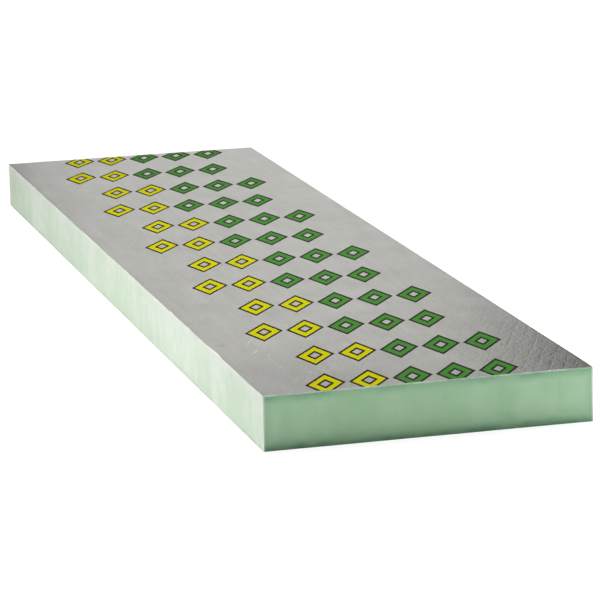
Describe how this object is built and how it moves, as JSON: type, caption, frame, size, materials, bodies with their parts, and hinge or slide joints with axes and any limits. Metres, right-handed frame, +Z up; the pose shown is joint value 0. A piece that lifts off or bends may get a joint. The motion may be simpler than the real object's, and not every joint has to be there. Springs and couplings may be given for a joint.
{
  "type": "foil-faced rigid foam insulation board",
  "caption": "Long flat slab of pale green rigid foam between two bonded sheets of silver foil laminate, square-cut on all sides, for insulating walls, floors and roofs.",
  "frame": {"origin": "middle of the board's underside, on the surface that it lies on", "axes": "+X across the width, +Y along the length, +Z up through the thickness, out of the printed facing"},
  "size_m": [0.6, 2.4, 0.1],
  "materials": {
    "rigid_foam": "sawn closed-cell foam, dull, faint vertical rise grain",
    "aluminium_laminate": "satin foil laminate with a fine crinkle and a repeated coloured print on the upper side"
  },
  "bodies": {
    "root": {"foam_core": "rigid_foam", "top_facing": "aluminium_laminate", "bottom_facing": "aluminium_laminate"}
  },
  "joints": []
}
